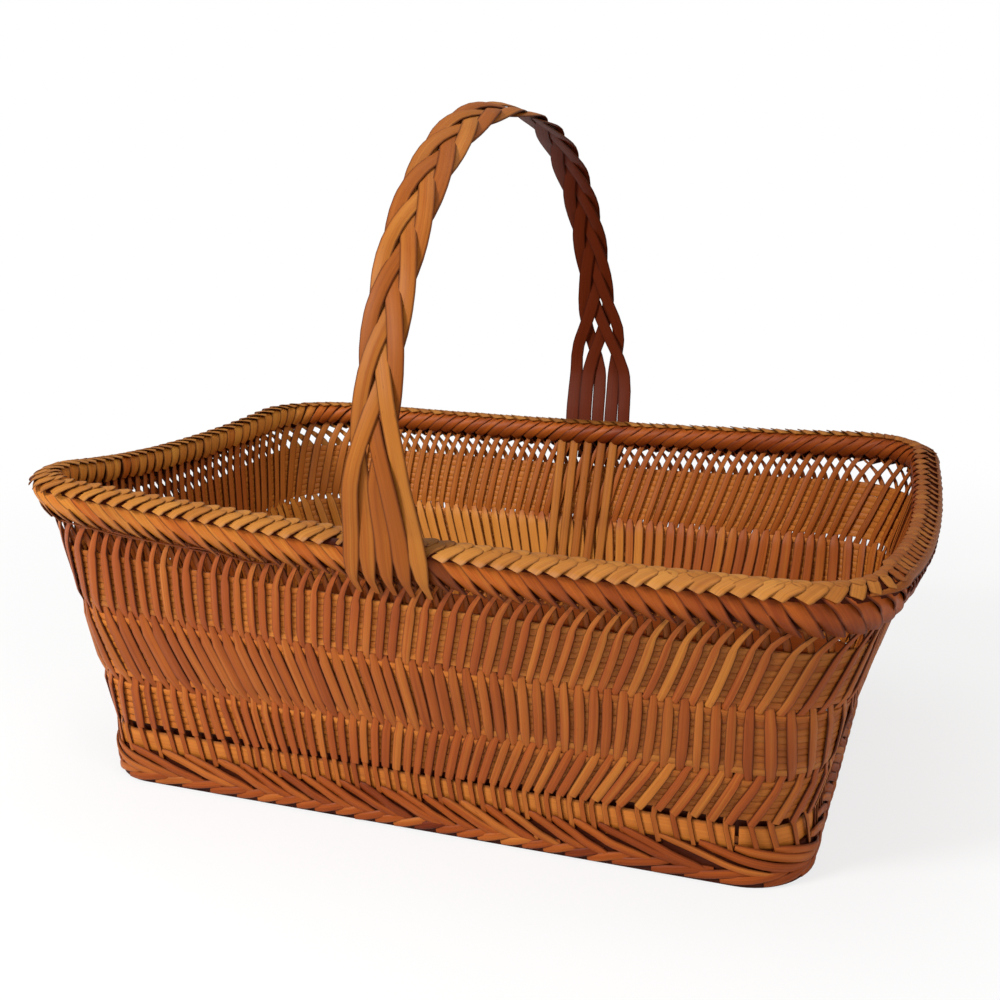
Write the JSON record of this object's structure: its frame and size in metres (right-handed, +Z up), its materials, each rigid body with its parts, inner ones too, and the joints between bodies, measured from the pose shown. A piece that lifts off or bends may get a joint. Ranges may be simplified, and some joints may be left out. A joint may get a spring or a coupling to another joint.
{
  "type": "gathering basket",
  "caption": "Rectangular plaited bamboo gathering basket with flared walls, a herringbone rim, an upright foot and one tall arched carrying handle.",
  "frame": {"origin": "on the ground, under the middle of the rim", "axes": "+X along the length of the basket, to the right seen from the front; -Y is the front long wall; +Z up"},
  "size_m": [0.4826, 0.362, 0.3727],
  "materials": {
    "stake_strip": "satin varnish, warm brown flat strips",
    "weaver_strip": "satin varnish, thin split strips",
    "rim_strip": "satin varnish, worn pale on top",
    "rim_core_strip": "dull, in shadow",
    "foot_strip": "satin varnish",
    "floor_strip": "satin varnish, flat wide strips",
    "handle_strip": "polished by the hand, satin"
  },
  "bodies": {
    "root": {"floor_lengthwise": "floor_strip", "floor_crosswise": "floor_strip", "foot_core": "foot_strip", "foot_hoop": "foot_strip", "foot_strands_long": "foot_strip", "foot_strands_short": "foot_strip", "weaver_low_1": "weaver_strip", "weaver_low_2": "weaver_strip", "weaver_low_3": "weaver_strip", "weaver_low_4": "weaver_strip", "weaver_low_5": "weaver_strip", "weaver_low_6": "weaver_strip", "weaver_mid_1": "weaver_strip", "weaver_mid_2": "weaver_strip", "weaver_mid_3": "weaver_strip", "weaver_mid_4": "weaver_strip", "weaver_mid_5": "weaver_strip", "weaver_mid_6": "weaver_strip", "weaver_mid_7": "weaver_strip", "weaver_mid_8": "weaver_strip", "weaver_mid_9": "weaver_strip", "weaver_top_1": "weaver_strip", "weaver_top_2": "weaver_strip", "weaver_top_3": "weaver_strip", "weaver_top_4": "weaver_strip", "weaver_top_5": "weaver_strip", "weaver_top_6": "weaver_strip", "weaver_top_7": "weaver_strip", "weaver_top_8": "weaver_strip", "weaver_top_9": "weaver_strip", "stakes_forward_front": "stake_strip", "stakes_forward_right": "stake_strip", "stakes_forward_back": "stake_strip", "stakes_forward_left": "stake_strip", "stakes_backward_front": "stake_strip", "stakes_backward_right": "stake_strip", "stakes_backward_back": "stake_strip", "stakes_backward_left": "stake_strip", "corner_forward_after_front": "stake_strip", "corner_forward_after_right": "stake_strip", "corner_forward_after_back": "stake_strip", "corner_forward_after_left": "stake_strip", "corner_backward_after_front": "stake_strip", "corner_backward_after_right": "stake_strip", "corner_backward_after_back": "stake_strip", "corner_backward_after_left": "stake_strip", "rim_core_inner": "rim_core_strip", "rim_core_outer": "rim_core_strip", "rim_wraps_outer": "rim_strip", "rim_wraps_inner": "rim_strip", "rim_wraps_top": "rim_strip", "handle_strand_1": "handle_strip", "handle_strand_2": "handle_strip", "handle_strand_3": "handle_strip", "handle_strand_4": "handle_strip", "handle_strand_5": "handle_strip", "handle_tails_front": "handle_strip", "handle_tails_back": "handle_strip"}
  },
  "joints": []
}
